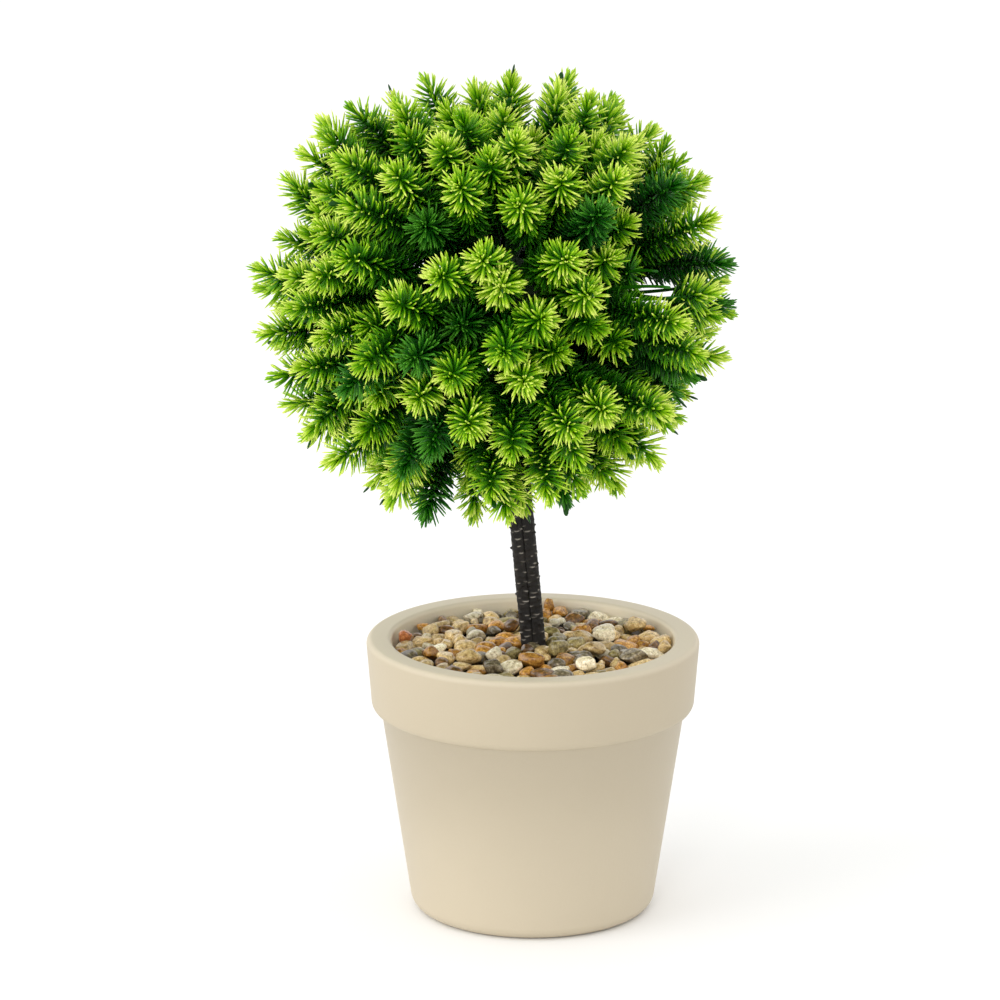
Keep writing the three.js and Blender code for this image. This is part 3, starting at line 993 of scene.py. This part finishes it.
def add_nub(build, end, heading, draw):
    """The flat moulding tab that some tips still carry."""
    tilt = unit(heading + draw.normal(0, NUB_WANDER, 3))
    path = end + NUB_SHARES[:, None] * NUB_LENGTH * tilt
    points, faces = tube(path, NUB_RADII, NUB_SIDES)
    flat = square_to(tilt)[0]
    away = (points - path[:, None]) @ flat
    points = points - NUB_FLATTENING * away[..., None] * flat
    build.add(points, faces, tone=TWIG_TONE, deep=1)


def spray(number, tree, axis, ends, indices, finish):
    """A moulded spray: its twigs leave the stalk one after another, the widest lowest."""
    build = Build()
    plug_end = HUB_RADIUS - SOCKET_DEPTH + GAP
    stalk = axis * np.linspace(plug_end, FORK_RADIUS, STALK_STEPS)[:, None]
    points, faces = tube(tree.out(stalk), np.full(STALK_STEPS, STALK_RADIUS), STALK_SIDES)
    build.add(points, faces, tone=STALK_TONE, deep=0)
    widest_first = np.argsort(unit(ends) @ axis)
    for k, which in enumerate(widest_first):
        draw = np.random.default_rng(1000 + int(indices[which]))
        end = ends[which]
        fork = axis * (FORK_RADIUS - FORK_STEP * (len(ends) - 1 - k))
        nubbed = draw.uniform() < NUB_CHANCE
        heading = unit(unit(end) + draw.normal(0, TWIG_WANDER, 3))
        stop = end - heading * (END_NEEDLE_LENGTH + (NUB_CLEARANCE if nubbed else 0))
        path = tree.out(bent(fork, stop, heading, TWIG_STEPS))
        radii = np.linspace(TWIG_THICK, TWIG_THIN, TWIG_STEPS)
        points, faces = tube(path, radii, TWIG_SIDES)
        build.add(points, faces, tone=TWIG_TONE, deep=0)
        brightness = draw.uniform(*BRIGHTNESS)
        deep = float(draw.uniform() < DEEP_CHANCE)
        add_needles(build, path, brightness, deep, tree, draw)
        if nubbed:
            add_nub(build, path[-1], unit(path[-1] - path[-2]), draw)
    name = f"{number:02d}"
    build.piece(f"foliage_{name}", [finish], [f"spray_{name}"])


def crown():
    tree = Tree()
    finish = needle_plastic()
    axes = spread_directions(SPRAYS, LOWEST_SPRAY)
    ends, owners = crown_tips(axes)
    for number, axis in enumerate(axes):
        mine = np.flatnonzero(owners == number)
        spray(number + 1, tree, axis, ends[mine], mine, finish)


# ---- Floor, light and camera ----

def floor():
    mesh = bpy.data.meshes.new("floor")
    half = 30.0
    corners = [(-half, -half, 0), (half, -half, 0), (half, half, 0), (-half, half, 0)]
    mesh.from_pydata(corners, [], [(0, 1, 2, 3)])
    made = bpy.data.objects.new("floor", mesh)
    finish = Finish("pale_floor", Roughness=0.8, Specular_IOR_Level=0.1)
    tone = finish.noise(finish.place(), 0.6)
    finish.drive("Base Color", finish.ramp(tone, [(0.0, (248, 248, 247)), (1.0, (251, 251, 251))]))
    mesh.materials.append(finish.material)
    bpy.context.scene.collection.objects.link(made)


def softbox(name, place, size, watts):
    """A square area light that faces the middle of the object."""
    lamp = bpy.data.lights.new(name, "AREA")
    lamp.size = size
    lamp.energy = watts
    made = bpy.data.objects.new(name, lamp)
    made.location = place
    towards = (cad_box[0] + cad_box[1]) / 2 - made.location
    made.rotation_euler = towards.to_track_quat("-Z", "Y").to_euler()
    bpy.context.scene.collection.objects.link(made)


def studio():
    world = bpy.data.worlds.new("studio")
    world.use_nodes = True
    background = world.node_tree.nodes["Background"]
    background.inputs["Color"].default_value = (1, 1, 1, 1)
    background.inputs["Strength"].default_value = 1.1
    bpy.context.scene.world = world
    softbox("key", (-2.2, -1.0, 0.9), size=1.8, watts=24)
    softbox("front", (-0.4, -2.2, 1.4), size=0.5, watts=6)
    bpy.context.scene.view_settings.view_transform = "Standard"


CAMERA_DROP = math.radians(14.4)
CAMERA_DISTANCE = 1.8
CAMERA_LENS = 181
AIM = (-0.01185, 0, 0.1516)


def camera():
    """Looks along +Y and down at the middle of the object, through a long lens."""
    lens = bpy.data.cameras.new("camera")
    lens.lens = CAMERA_LENS
    lens.sensor_width = 36
    made = bpy.data.objects.new("camera", lens)
    made.location = (
        AIM[0],
        AIM[1] - CAMERA_DISTANCE * math.cos(CAMERA_DROP),
        AIM[2] + CAMERA_DISTANCE * math.sin(CAMERA_DROP),
    )
    made.rotation_euler = (math.pi / 2 - CAMERA_DROP, 0, 0)
    bpy.context.scene.collection.objects.link(made)
    bpy.context.scene.camera = made


def finish_cad_node(name, finish):
    """Gives a CAD node that stays in view its own material."""
    data = frame["nodes"][name].data
    data.materials.clear()
    data.materials.append(finish)


camera()
studio()
floor()
pot()
stone_finishes = {kind: stone(kind) for kind in STONES}
feature_stones(stone_finishes)
gravel(stone_finishes)
bark_finish = bark()
stem("left", bark_finish)
stem("right", bark_finish)
crown()
finish_cad_node("ballast_plug", cement())
finish_cad_node("crown_hub", hub_plastic())
wire_finish = steel_wire()
finish_cad_node("stem_wire_left", wire_finish)
finish_cad_node("stem_wire_right", wire_finish)
